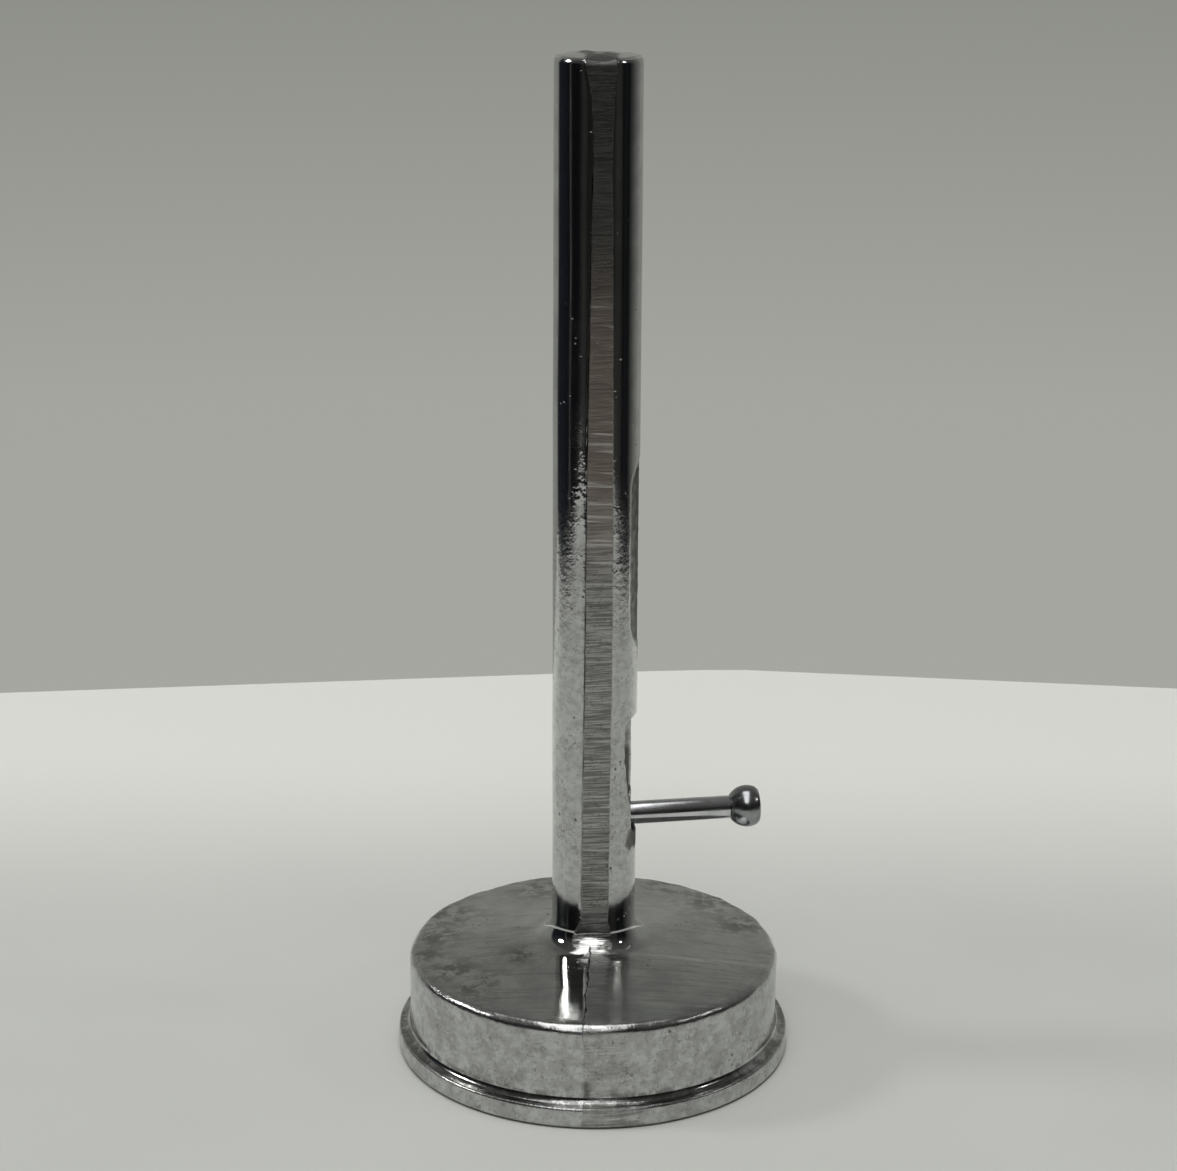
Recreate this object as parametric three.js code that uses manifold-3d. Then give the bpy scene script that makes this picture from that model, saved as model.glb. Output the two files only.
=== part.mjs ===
// A falafel mould: an aluminium cup cast in one piece with its tubular handle, and a sprung ejector inside it.
// A thumb lever stands out through a slot in the handle. Pushing the lever up draws the ejector disc into the cup
// against a coil spring, the cup is filled and levelled, and letting go pushes the patty out.
//
// Units are millimetres. The origin is the centre of the cup's mouth, +Z runs up the handle, +X is the lever's side
// and -Y is the front, where the mould's parting line was filed flat.
import * as THREE from "three";
import { mergeVertices } from "three/addons/utils/BufferGeometryUtils.js";
import Module from "manifold-3d";

const wasm = await Module();
wasm.setup();

// ---- Driving dimensions -------------------------------------------------------------------------------------

// Casting, as a whole
const overallHeight = 178;
const handleDiameter = 15;
const handleWall = 2;
const handleEndThickness = 28; // solid metal above the bore
const handleTopRound = 1.6;
const cavityDiameter = 60; // the patty's size
const cupHeight = 18.2;
const cupWall = 3.2;
const cupCeiling = 2.6;
const cupTopRound = 1.6;
const cupCrown = 2.2; // the cup's top rises this much from its edge to the handle's fillet
const handleRootFillet = 4;
const flangeReach = 2.2;
const flangeHeight = 3.8;
const flangeEdgeRound = 0.5;
const flangeFillet = 1.4;

// Filed band over the parting line, front and back
const bandWidth = 4.7;
const bandTurnDegrees = 5; // the file was held a little round from the parting line

// Plain oval grip panel sunk in the handle on the lever's side
const panelCentreHeight = 93;
const panelLength = 33;
const panelWidth = 9.6;
const panelDepth = 0.25;

// Lever
const leverHeight = 43.6;
const leverPinDiameter = 4.1;
const leverBallDiameter = 7.5;
const leverBallReach = 27.9; // from the handle's axis to the ball's centre
const leverBallFlat = 2; // from the ball's centre to its flat end
const leverThreadDepth = 7.5; // how far the pin screws into the rod
const ballSpigotDiameter = 2.6;
const ballSpigotLength = 3.4;

// Slot for the lever
const slotSidePlay = 1.35;
const slotHeadroom = 5.3; // spare slot above the lever's highest place
const slotCornerRadius = 1.8;
const slotFlare = 1.5; // the front edge was filed back by this much over the slot's upper part
const slotFlareStart = 3; // above the slot's foot
const slotFlareRise = 9.5;
const slotCoverLength = 2.6; // the rod reaches this far above the slot, so that the slot never opens

// Ejector
const discThickness = 2.4;
const discRecess = 0.6; // the disc rests this far inside the mouth
const discScrewDiameter = 4;
const discScrewLength = 12;
const discScrewLand = 0.5; // plain metal left in the disc above the countersink
const screwDriverSlotWidth = 0.9;
const screwDriverSlotDepth = 0.8;

// Spring and its washer
const springWire = 0.9;
const springTurns = 20;
const springEndTurns = 1; // closed turns at each end
const washerThickness = 0.8;
const washerHole = 4.4;

// Clearances
const rodClearance = 0.2; // rod in bore, on the radius
const discClearance = 0.35; // disc in cup, on the radius
const springClearance = 0.65; // spring in bore, on the radius
const washerClearance = 0.4; // washer in bore, on the radius
const slotClearance = 0.15; // lever pin against the slot's side and foot
const stopClearance = 0.2; // disc against the cup's ceiling at full travel
const seatGap = 0.1; // between two faces that bear on each other
const fitGap = 0.15; // round a screw, thread or spigot in its hole

// Fineness of round shapes
const castingSegments = 72;
const turnedSegments = 40;
const pinSegments = 24;
const wireSides = 6;
const wireStepsPerTurn = 16;
const arcSteps = 5;

// ---- Sizes that follow --------------------------------------------------------------------------------------

const handleRadius = handleDiameter / 2;
const boreRadius = handleRadius - handleWall;
const boreTop = overallHeight - handleEndThickness;
const cavityRadius = cavityDiameter / 2;
const ceilingHeight = cupHeight - cupCeiling;
const cupRadius = cavityRadius + cupWall;
const crownRun = cupRadius - cupTopRound - handleRadius - handleRootFillet;
const crownSlope = THREE.MathUtils.radToDeg(Math.atan(cupCrown / crownRun));
const rootTop = cupHeight + cupCrown + handleRootFillet;
const flangeRadius = cupRadius + flangeReach;

const discTop = discRecess + discThickness;
const travel = ceilingHeight - discTop - stopClearance;

const pinRadius = leverPinDiameter / 2;
const slotWidth = leverPinDiameter + 2 * slotSidePlay;
const slotFoot = leverHeight - pinRadius - slotClearance;
const slotTop = leverHeight + travel + pinRadius + slotHeadroom;

const rodRadius = boreRadius - rodClearance;
const rodFoot = discTop + seatGap;
const rodTop = slotTop + slotCoverLength;

const washerFoot = rodTop + seatGap;
const springFoot = washerFoot + washerThickness + seatGap;
const springTop = boreTop - seatGap;
const springMeanRadius = boreRadius - springClearance - springWire / 2;

// The lever leans to the back until its pin lies against the slot's side: h cos(a) - x sin(a) = r, where h is the
// slot's half width less its clearance, x is how far out the slot's edge lies, and r is the pin's radius.
const slotHalf = slotWidth / 2 - slotClearance;
const slotEdgeOut = Math.sqrt(handleRadius ** 2 - (slotWidth / 2) ** 2);
const leverTurn =
  Math.acos(pinRadius / Math.hypot(slotHalf, slotEdgeOut)) - Math.atan2(slotEdgeOut, slotHalf);

// ---- Shape helpers ------------------------------------------------------------------------------------------

const UP_FROM_Y = new THREE.Matrix4().makeRotationX(Math.PI / 2);
const OUT_ALONG_X = new THREE.Matrix4().makeRotationY(Math.PI / 2);

// Points of an arc in a profile, from one angle to another in degrees.
function arc(centreR, centreZ, radius, fromDegrees, toDegrees, steps = arcSteps) {
  return Array.from({ length: steps + 1 }, (_, i) => {
    const a = THREE.MathUtils.degToRad(fromDegrees + ((toDegrees - fromDegrees) * i) / steps);
    return [centreR + radius * Math.cos(a), centreZ + radius * Math.sin(a)];
  });
}

// A solid of revolution about Z. The profile is [radius, height] points with the metal on its left.
function turned(profile, segments) {
  const points = profile.map(([r, z]) => new THREE.Vector2(r, z));
  return new THREE.LatheGeometry(points, segments).applyMatrix4(UP_FROM_Y);
}

// A closed geometry as a manifold-3d solid.
function solidOf(geometry) {
  const bare = geometry.clone();
  bare.deleteAttribute("normal");
  bare.deleteAttribute("uv");
  const merged = mergeVertices(bare);
  return new wasm.Manifold(
    new wasm.Mesh({
      numProp: 3,
      vertProperties: new Float32Array(merged.attributes.position.array),
      triVerts: new Uint32Array(merged.index.array),
    }),
  );
}

// A manifold-3d solid as a geometry.
function geometryOf(solid) {
  const { vertProperties, triVerts } = solid.getMesh();
  const geometry = new THREE.BufferGeometry();
  geometry.setAttribute("position", new THREE.BufferAttribute(vertProperties, 3));
  geometry.setIndex(new THREE.BufferAttribute(triVerts, 1));
  geometry.computeVertexNormals();
  return geometry;
}

function box(sizeX, sizeY, sizeZ, centre) {
  return new THREE.BoxGeometry(sizeX, sizeY, sizeZ).translate(...centre);
}

// A flat outline in the Y-Z plane, given as a shape whose own x runs along -Z and y along Y, pushed out along +X.
function pushedOutX(shape, toX, curveSegments) {
  const settings = { depth: toX, bevelEnabled: false, curveSegments };
  return new THREE.ExtrudeGeometry(shape, settings).applyMatrix4(OUT_ALONG_X);
}

// A rectangle with round corners for pushedOutX, from low to high in Z and centred in Y. Its front edge may stand
// further out by flare above the height flareTop, and slants back to its place at the height flareFoot.
function roundedWindow(low, high, width, corner, flare = 0, flareFoot = low + corner, flareTop = high - corner) {
  const shape = new THREE.Shape();
  const half = width / 2;
  const front = half + flare;
  shape.moveTo(-high + corner, -front);
  if (flare > 0) {
    shape.lineTo(-flareTop, -front);
    shape.lineTo(-flareFoot, -half);
  }
  shape.lineTo(-low - corner, -half);
  shape.absarc(-low - corner, -half + corner, corner, -Math.PI / 2, 0);
  shape.lineTo(-low, half - corner);
  shape.absarc(-low - corner, half - corner, corner, 0, Math.PI / 2);
  shape.lineTo(-high + corner, half);
  shape.absarc(-high + corner, half - corner, corner, Math.PI / 2, Math.PI);
  shape.lineTo(-high, -front + corner);
  shape.absarc(-high + corner, -front + corner, corner, Math.PI, 1.5 * Math.PI);
  return shape;
}

function material(colour, roughness) {
  return new THREE.MeshStandardMaterial({ color: colour, roughness, metalness: 1 });
}

function piece(name, geometry, finish) {
  const mesh = new THREE.Mesh(geometry, finish);
  mesh.name = name;
  return mesh;
}

// ---- Casting ------------------------------------------------------------------------------------------------

// Half section of the casting: down the bore, across the ceiling, down the cup, then up the outside.
function castingProfile() {
  return [
    [0, boreTop],
    [boreRadius, boreTop],
    [boreRadius, ceilingHeight],
    [cavityRadius, ceilingHeight],
    [cavityRadius, 0],
    ...arc(flangeRadius - flangeEdgeRound, flangeEdgeRound, flangeEdgeRound, -90, 0, 3),
    ...arc(flangeRadius - flangeEdgeRound, flangeHeight - flangeEdgeRound, flangeEdgeRound, 0, 90, 3),
    ...arc(cupRadius + flangeFillet, flangeHeight + flangeFillet, flangeFillet, -90, -180, 4),
    ...arc(cupRadius - cupTopRound, cupHeight - cupTopRound, cupTopRound, 0, 90, 4),
    ...arc(handleRadius + handleRootFillet, rootTop, handleRootFillet, -90 - crownSlope, -180),
    ...arc(handleRadius - handleTopRound, overallHeight - handleTopRound, handleTopRound, 0, 90),
    [0, overallHeight],
  ];
}

// The slot that the lever slides in, through one wall of the handle.
function slotCutter() {
  const flareFoot = slotFoot + slotFlareStart;
  const flareTop = flareFoot + slotFlareRise;
  const window = roundedWindow(
    slotFoot, slotTop, slotWidth, slotCornerRadius, slotFlare, flareFoot, flareTop,
  );
  return solidOf(pushedOutX(window, handleDiameter, 6));
}

// What the file took off the parting line: a slice from the handle's root to its top, front or back.
function bandCutter(side) {
  const flatOut = Math.sqrt(handleRadius ** 2 - (bandWidth / 2) ** 2);
  const foot = rootTop;
  const height = overallHeight - foot;
  const slab = box(handleDiameter, handleWall, height, [0, -flatOut - handleWall / 2, foot + height / 2]);
  const turn = THREE.MathUtils.degToRad(bandTurnDegrees) + (side === "back" ? Math.PI : 0);
  return solidOf(slab.rotateZ(turn));
}

// The sunk oval of the grip panel: the metal of the handle's skin, down to the panel's floor.
function panelCutter() {
  const low = panelCentreHeight - panelLength / 2;
  const high = panelCentreHeight + panelLength / 2;
  const oval = roundedWindow(low, high, panelWidth, panelWidth / 2 - 0.01);
  const floor = handleRadius - panelDepth;
  const core = turned(
    [
      [0, low - panelWidth],
      [floor, low - panelWidth],
      [floor, high + panelWidth],
      [0, high + panelWidth],
    ],
    castingSegments,
  );
  return solidOf(pushedOutX(oval, handleDiameter, 8)).subtract(solidOf(core));
}

function casing() {
  const cast = solidOf(turned(castingProfile(), castingSegments))
    .subtract(slotCutter())
    .subtract(bandCutter("front"))
    .subtract(bandCutter("back"))
    .subtract(panelCutter());
  return piece("casing", geometryOf(cast), material(0xb4b6b6, 0.22));
}

// ---- Ejector ------------------------------------------------------------------------------------------------

const screwRadius = discScrewDiameter / 2;
const screwHeadDepth = discThickness - discScrewLand;
const screwHeadRadius = screwRadius + screwHeadDepth; // a 90 degree countersink
const screwTop = discRecess + discScrewLength;

function ejectorDisc() {
  const radius = cavityRadius - discClearance;
  const edge = 0.4;
  const profile = [
    [screwHeadRadius + fitGap, discRecess],
    [radius - edge, discRecess],
    [radius, discRecess + edge],
    [radius, discTop - edge],
    [radius - edge, discTop],
    [screwRadius + fitGap, discTop],
    [screwRadius + fitGap, discRecess + screwHeadDepth],
    [screwHeadRadius + fitGap, discRecess],
  ];
  return piece("ejector_disc", turned(profile, castingSegments), material(0xbfc0be, 0.3));
}

// Countersunk screw that holds the disc on the rod, with a straight driver slot.
function discScrew() {
  const profile = [
    [0, discRecess],
    [screwHeadRadius, discRecess],
    [screwRadius, discRecess + screwHeadDepth],
    [screwRadius, screwTop],
    [0, screwTop],
  ];
  const reach = 3 * screwHeadRadius;
  const slot = box(reach, screwDriverSlotWidth, 2 * screwDriverSlotDepth, [0, 0, discRecess]);
  const screw = solidOf(turned(profile, pinSegments)).subtract(solidOf(slot));
  return piece("disc_screw", geometryOf(screw), material(0x9a9b9c, 0.35));
}

// The rod slides in the bore. It is tapped at its foot for the screw and across for the lever pin.
function plungerRod() {
  const edge = 0.5;
  const tapTop = screwTop + 2 * fitGap;
  const profile = [
    [0, tapTop],
    [screwRadius + fitGap, tapTop],
    [screwRadius + fitGap, rodFoot],
    [rodRadius - edge, rodFoot],
    [rodRadius, rodFoot + edge],
    [rodRadius, rodTop - edge],
    [rodRadius - edge, rodTop],
    [0, rodTop],
  ];
  const holeRadius = pinRadius + fitGap;
  const holeStart = rodRadius - leverThreadDepth - fitGap;
  const hole = new THREE.CylinderGeometry(holeRadius, holeRadius, handleDiameter, pinSegments)
    .rotateZ(-Math.PI / 2)
    .translate(holeStart + handleDiameter / 2, 0, leverHeight)
    .rotateZ(leverTurn);
  const rod = solidOf(turned(profile, turnedSegments)).subtract(solidOf(hole));
  return piece("plunger_rod", geometryOf(rod), material(0xb9bab8, 0.32));
}

// ---- Lever --------------------------------------------------------------------------------------------------

const ballRadius = leverBallDiameter / 2;
const ballNeck = leverBallReach - Math.sqrt(ballRadius ** 2 - pinRadius ** 2);
const spigotRadius = ballSpigotDiameter / 2;
const leverStart = rodRadius - leverThreadDepth;

// Lever pieces are turned about Z and then laid along the lever's own direction.
function laidAlongLever(geometry) {
  return geometry.applyMatrix4(OUT_ALONG_X).translate(0, 0, leverHeight).rotateZ(leverTurn);
}

function leverPin() {
  const spigotStart = ballNeck + seatGap;
  const profile = [
    [0, leverStart],
    [pinRadius - 0.4, leverStart],
    [pinRadius, leverStart + 0.4],
    [pinRadius, ballNeck - seatGap],
    [spigotRadius, ballNeck - seatGap],
    [spigotRadius, spigotStart + ballSpigotLength],
    [0, spigotStart + ballSpigotLength],
  ];
  return piece("lever_pin", laidAlongLever(turned(profile, pinSegments)), material(0xc9ccce, 0.15));
}

// A ball with a flat end, pressed on the pin's spigot.
function leverKnob() {
  const socketRadius = spigotRadius + fitGap;
  const socketEnd = ballNeck + seatGap + ballSpigotLength + fitGap;
  const neckAngle = THREE.MathUtils.radToDeg(Math.asin(pinRadius / ballRadius));
  const flatRadius = Math.sqrt(ballRadius ** 2 - leverBallFlat ** 2);
  const flatAngle = THREE.MathUtils.radToDeg(Math.atan2(flatRadius, leverBallFlat));
  const round = arc(0, leverBallReach, ballRadius, -90 + neckAngle, 90 - flatAngle, 9);
  const profile = [
    [0, socketEnd],
    [socketRadius, socketEnd],
    [socketRadius, ballNeck],
    ...round,
    [0, leverBallReach + leverBallFlat],
  ];
  return piece("lever_knob", laidAlongLever(turned(profile, pinSegments)), material(0x6f7375, 0.25));
}

// ---- Spring -------------------------------------------------------------------------------------------------

// A helix with closed turns at each end and an even pitch between them.
class SpringCurve extends THREE.Curve {
  getPoint(t, target = new THREE.Vector3()) {
    const low = springFoot + springWire / 2;
    const high = springTop - springWire / 2;
    const closedRise = springEndTurns * (springWire + seatGap);
    const openTurns = springTurns - 2 * springEndTurns;
    const turn = t * springTurns;
    const openRise = high - low - 2 * closedRise;
    const first = Math.min(turn, springEndTurns) / springEndTurns;
    const middle = THREE.MathUtils.clamp(turn - springEndTurns, 0, openTurns) / openTurns;
    const last = Math.max(0, turn - springEndTurns - openTurns) / springEndTurns;
    const z = low + closedRise * (first + last) + openRise * middle;
    const angle = turn * 2 * Math.PI;
    return target.set(springMeanRadius * Math.cos(angle), springMeanRadius * Math.sin(angle), z);
  }
}

function returnSpring() {
  const section = new THREE.Shape();
  const wireRadius = springWire / 2;
  for (let i = 0; i < wireSides; i++) {
    const a = (2 * Math.PI * i) / wireSides;
    const x = wireRadius * Math.cos(a);
    const y = wireRadius * Math.sin(a);
    if (i === 0) section.moveTo(x, y);
    else section.lineTo(x, y);
  }
  section.closePath();
  const steps = springTurns * wireStepsPerTurn;
  const coil = new THREE.ExtrudeGeometry(section, { steps, extrudePath: new SpringCurve() });
  return piece("return_spring", coil, material(0x8d8f92, 0.3));
}

// The washer spreads the spring's cut end over the soft rod.
function springWasher() {
  const outer = boreRadius - washerClearance;
  const inner = washerHole / 2;
  const profile = [
    [inner, washerFoot],
    [outer, washerFoot],
    [outer, washerFoot + washerThickness],
    [inner, washerFoot + washerThickness],
    [inner, washerFoot],
  ];
  return piece("spring_washer", turned(profile, turnedSegments), material(0x9fa2a4, 0.3));
}

// ---- Assembly -----------------------------------------------------------------------------------------------

const mould = new THREE.Group();
mould.name = "falafel_mould";

const ejector = new THREE.Group();
ejector.name = "ejector";
ejector.add(plungerRod(), ejectorDisc(), discScrew(), springWasher(), leverPin(), leverKnob());

mould.add(casing(), returnSpring(), ejector);

export default mould;
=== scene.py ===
"""The finished look of a cast aluminium falafel mould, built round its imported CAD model.

Sizes are in millimetres until a mesh is made. The origin is the centre of the cup's mouth, +Z runs up the
handle, +X is the lever's side and -Y is the front, where the mould's parting line was filed flat.
"""
import math

import bpy
import numpy as np
from mathutils import Matrix


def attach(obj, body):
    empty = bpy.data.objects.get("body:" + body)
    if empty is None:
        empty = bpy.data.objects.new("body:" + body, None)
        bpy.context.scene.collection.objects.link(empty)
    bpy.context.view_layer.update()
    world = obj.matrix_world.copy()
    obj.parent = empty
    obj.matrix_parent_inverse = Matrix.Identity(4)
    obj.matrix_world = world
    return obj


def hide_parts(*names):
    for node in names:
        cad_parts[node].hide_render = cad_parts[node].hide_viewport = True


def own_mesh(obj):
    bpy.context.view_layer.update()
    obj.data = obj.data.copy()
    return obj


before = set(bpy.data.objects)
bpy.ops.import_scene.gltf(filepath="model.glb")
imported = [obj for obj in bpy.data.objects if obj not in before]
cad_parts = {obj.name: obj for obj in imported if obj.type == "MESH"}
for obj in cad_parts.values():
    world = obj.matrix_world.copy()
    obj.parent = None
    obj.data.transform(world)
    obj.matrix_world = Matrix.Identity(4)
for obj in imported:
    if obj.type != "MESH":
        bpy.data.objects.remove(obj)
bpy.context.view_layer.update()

# ---- Casing --------------------------
# The handle, the cup and the flange round its mouth are one aluminium casting, poured in a two-part mould.
# The handle is bored from the cup for the plunger, the slot is milled through one wall and filed by hand, and
# the mould's parting line was filed off down the front and the back.

HANDLE_RADIUS, HANDLE_TOP, HANDLE_TOP_ROUND = 7.5, 177.9, 1.55
BORE_RADIUS, BORE_TOP = 5.5, 150
CAVITY_RADIUS, CEILING = 30, 15.6
CUP_RADIUS, CUP_TOP, CUP_TOP_ROUND = 33.2, 18.2, 1.6
CUP_CROWN = 2.2  # the cup's top rises this much from its edge to the handle's fillet
ROOT_FILLET, ROOT_ROWS = 3.9, 15  # the fillet at the handle's foot
ROOT_TOP = CUP_TOP + CUP_CROWN + ROOT_FILLET
FLANGE_RADIUS, FLANGE_TOP = 35.3, 3.8
FLANGE_ROUND, FLANGE_FILLET = 0.55, 1.4
COLUMNS = 204

SLOT_FOOT, SLOT_HEAD = 41.4, 63.35
SLOT_HALF_WIDTH, SLOT_CORNER, SLOT_EDGE_ROUND = 3.4, 1.8, 0.3
SLOT_INNER_SHARE = 0.35  # the filing back of the slot's front edge grows shallower towards the bore
PATCH_HALF_ANGLE = math.radians(54)  # the slot's patch of the skin, which is joined to the slot ring by ring
PATCH_FOOT, PATCH_HEAD = 37, 68

PARTING_X = -1.25  # the mould's joint lies this far to the left of the handle's axis
PANEL_HEIGHT, PANEL_LENGTH, PANEL_WIDTH, PANEL_DEPTH = 93, 33, 9.6, 0.2
STEP_DEPTH = 0.09  # the skin left of the filed band stands lower than the band


def lumps(points, size, seed, waves=22):
    """Smooth lumps of about the given size: the mean of sine waves that run in random directions, each
    sin(direction . point * 2 pi / size + phase), scaled to run from about -1 to 1."""
    draw = np.random.default_rng(seed)
    directions = draw.normal(size=(waves, 3))
    directions /= np.linalg.norm(directions, axis=1)[:, None]
    rates = 2 * np.pi / size * draw.uniform(0.6, 1.4, waves)
    phases = draw.uniform(0, 2 * np.pi, waves)
    total = np.zeros(points.shape[:-1])
    for direction, rate, phase in zip(directions, rates, phases):
        total += np.sin(points @ direction * rate + phase)
    return total / math.sqrt(waves)


def ease(value, low, high):
    """0 below low, 1 above high, and 3t^2 - 2t^3 between them, where t is the share of the way."""
    t = np.clip((value - low) / (high - low), 0, 1)
    return t * t * (3 - 2 * t)


def crowded(start, stop, count, peaks):
    """Numbers from start to stop that crowd together near each peak (place, width, strength): the inverse of
    the running sum of the density 1 + strength * exp(-((x - place) / width)^2)."""
    fine = np.linspace(start, stop, 20001)
    density = np.ones_like(fine)
    for place, width, strength in peaks:
        density += strength * np.exp(-(((fine - place) / width) ** 2))
    running = np.concatenate([[0], np.cumsum((density[1:] + density[:-1]) / 2)])
    return np.interp(np.linspace(0, running[-1], count), running, fine)


def arc(centre_r, centre_z, radius, start, stop, steps):
    """Profile points on a circle, from one angle to another in degrees."""
    angles = np.radians(np.linspace(start, stop, steps))
    return np.stack([centre_r + radius * np.cos(angles), centre_z + radius * np.sin(angles)], axis=1)


def part_way(start, stop, share):
    """start * (1 - share) + stop * share."""
    return start * (1 - share) + stop * share


def straight(start, stop, steps):
    """Evenly spaced profile points between two points, without the points at the ends."""
    return part_way(np.array(start), np.array(stop), np.linspace(0, 1, steps + 2)[1:-1, None])


def round_z(radius, turn, height):
    """Points at a radius, a turn about Z and a height: (r cos(turn), r sin(turn), height)."""
    return np.stack([radius * np.cos(turn), radius * np.sin(turn), height + 0 * turn], axis=-1)


def filed_band(height):
    """The filed band's middle, to the right of the handle's axis, and its half width, read from a table of
    heights."""
    middle = np.interp(height, [23, 26, 45, 70, 100, 140, 165, 172, 177],
                       [-0.3, 0.2, 0.35, 0.6, 0.65, 0.75, 0.85, 0.8, 0.5])
    half = np.interp(height, [23, 26, 60, 95, 120, 145, 165, 171, 177],
                     [3.5, 2.4, 2.35, 2.3, 2.1, 1.8, 1.5, 1.9, 2.7])
    return middle, half


def file_wander(points):
    """How far the filed band's edges wander: long and short waves along the handle, added."""
    along = points * [0, 0, 1]
    return 0.10 * lumps(along, 7, 3) + 0.06 * lumps(along, 2.2, 4)


def handle_skin(turn, height):
    """Outside radius of the handle at a turn about Z and a height. It is the round tube with low waves in it,
    cut back to a flat wherever the file went (flat's distance / cos(angle from the flat's middle)), less a
    step and a groove at the parting line and the sunk oval panel."""
    points = round_z(HANDLE_RADIUS, turn, height)
    radius = HANDLE_RADIUS + 0.022 * lumps(points, 19, 1) + 0.02 * lumps(points * [1, 1, 0.06], 6, 2) - 0.03
    edge_wander = file_wander(points)
    middle, half = filed_band(height)
    for side, shift in ((-math.pi / 2, 1), (math.pi / 2, -1)):
        angle = (turn - side + math.pi) % (2 * math.pi) - math.pi
        across = HANDLE_RADIUS * np.sin(angle) * shift
        near = np.cos(angle) > 0.3
        left = middle - half + 0.4 * edge_wander
        if shift == 1:
            radius -= near * STEP_DEPTH * (1 - ease(across, left - 0.12, left + 0.02)) * ease(across, -6.5, -2)
            groove = 0.10 + 0.07 * lumps(points * [0, 0, 1], 9, 5)
            radius -= near * groove * np.exp(-(((across - left + 0.08) / 0.16) ** 2))
        tilt = np.arcsin(middle / HANDLE_RADIUS) * shift
        depth = np.sqrt(HANDLE_RADIUS**2 - (half + 0.5 * edge_wander * (across > middle)) ** 2)
        flat = depth / np.maximum(np.cos(angle - tilt), 0.2)
        flat = flat + 0.035 * lumps(points * [0.5, 0.5, 1], 9, 6)
        radius = np.where(near, np.minimum(radius, flat), radius)
    around = HANDLE_RADIUS * ((turn + math.pi) % (2 * math.pi) - math.pi)
    reach = PANEL_WIDTH / 2
    straight_half = PANEL_LENGTH / 2 - reach
    inside = reach - np.hypot(around, np.maximum(np.abs(height - PANEL_HEIGHT) - straight_half, 0))
    sunk = ease(inside + 0.15 * lumps(points, 5, 7), -0.35, 0.45)
    radius -= sunk * (PANEL_DEPTH + 0.03 * lumps(points, 1.7, 8) + 0.02 * lumps(points, 0.9, 10))
    return radius


def casting_profile():
    """The casting's half section as rows of (radius, height), from the top of the bore down it, across the
    ceiling, down the cavity, round the rim, and up the outside to the handle's top. It also gives the rows
    where the flange's side, the tube and the slot's windows in the bore and the tube start, and the number of
    rows in a window."""
    window = np.linspace(PATCH_HEAD, PATCH_FOOT, 52)
    bore_head = np.linspace(BORE_TOP, PATCH_HEAD, 14)[:-1]
    bore = np.concatenate([bore_head, window, np.linspace(PATCH_FOOT, CEILING, 7)[1:]])
    inner = [np.stack([np.full_like(bore, BORE_RADIUS), bore], axis=1),
             straight((BORE_RADIUS, CEILING), (CAVITY_RADIUS, CEILING), 7),
             [[CAVITY_RADIUS - 0.3, CEILING], [CAVITY_RADIUS, CEILING - 0.3]],
             straight((CAVITY_RADIUS, CEILING - 0.3), (CAVITY_RADIUS, 0.4), 4),
             [[CAVITY_RADIUS, 0.4], [CAVITY_RADIUS + 0.12, 0.12], [CAVITY_RADIUS + 0.4, 0]]]
    outer_r = FLANGE_RADIUS - FLANGE_ROUND
    rim = [straight((CAVITY_RADIUS + 0.4, 0), (outer_r, 0), 4),
           arc(outer_r, FLANGE_ROUND, FLANGE_ROUND, -90, 0, 5),
           straight((FLANGE_RADIUS, FLANGE_ROUND), (FLANGE_RADIUS, FLANGE_TOP - FLANGE_ROUND), 7),
           arc(outer_r, FLANGE_TOP - FLANGE_ROUND, FLANGE_ROUND, 0, 90, 6),
           arc(CUP_RADIUS + FLANGE_FILLET, FLANGE_TOP + FLANGE_FILLET, FLANGE_FILLET, -90, -180, 8)]
    cup_side_top = CUP_TOP - CUP_TOP_ROUND
    root_r = HANDLE_RADIUS + ROOT_FILLET
    slope = math.degrees(math.atan(CUP_CROWN / (CUP_RADIUS - CUP_TOP_ROUND - root_r)))
    cup = [straight((CUP_RADIUS, FLANGE_TOP + FLANGE_FILLET), (CUP_RADIUS, cup_side_top), 16),
           arc(CUP_RADIUS - CUP_TOP_ROUND, cup_side_top, CUP_TOP_ROUND, 0, 90, 8),
           straight((CUP_RADIUS - CUP_TOP_ROUND, CUP_TOP), (root_r, ROOT_TOP - ROOT_FILLET), 24),
           arc(root_r, ROOT_TOP, ROOT_FILLET, -90 - slope, -180, ROOT_ROWS)]
    high = HANDLE_TOP - HANDLE_TOP_ROUND
    below = crowded(ROOT_TOP, PATCH_FOOT, 34, [(ROOT_TOP, 1.2, 2.5)])
    above = crowded(PATCH_HEAD, high, 190, [(high, 2, 0.6)])
    tube = np.concatenate([below[1:-1], window[::-1], above[1:]])
    handle = [np.stack([np.full_like(tube, HANDLE_RADIUS), tube], axis=1),
              arc(HANDLE_RADIUS - HANDLE_TOP_ROUND, high, HANDLE_TOP_ROUND, 0, 90, 8)[1:],
              straight((HANDLE_RADIUS - HANDLE_TOP_ROUND, HANDLE_TOP), (0.4, HANDLE_TOP), 5)]
    rows = np.concatenate([np.asarray(part) for part in inner + rim + cup + handle])
    flange_side = sum(len(part) for part in inner + rim[:2]) - 1
    tube_start = len(rows) - sum(len(part) for part in handle)
    return rows, flange_side, tube_start, len(bore_head), tube_start + len(below) - 2, len(window)


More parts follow.
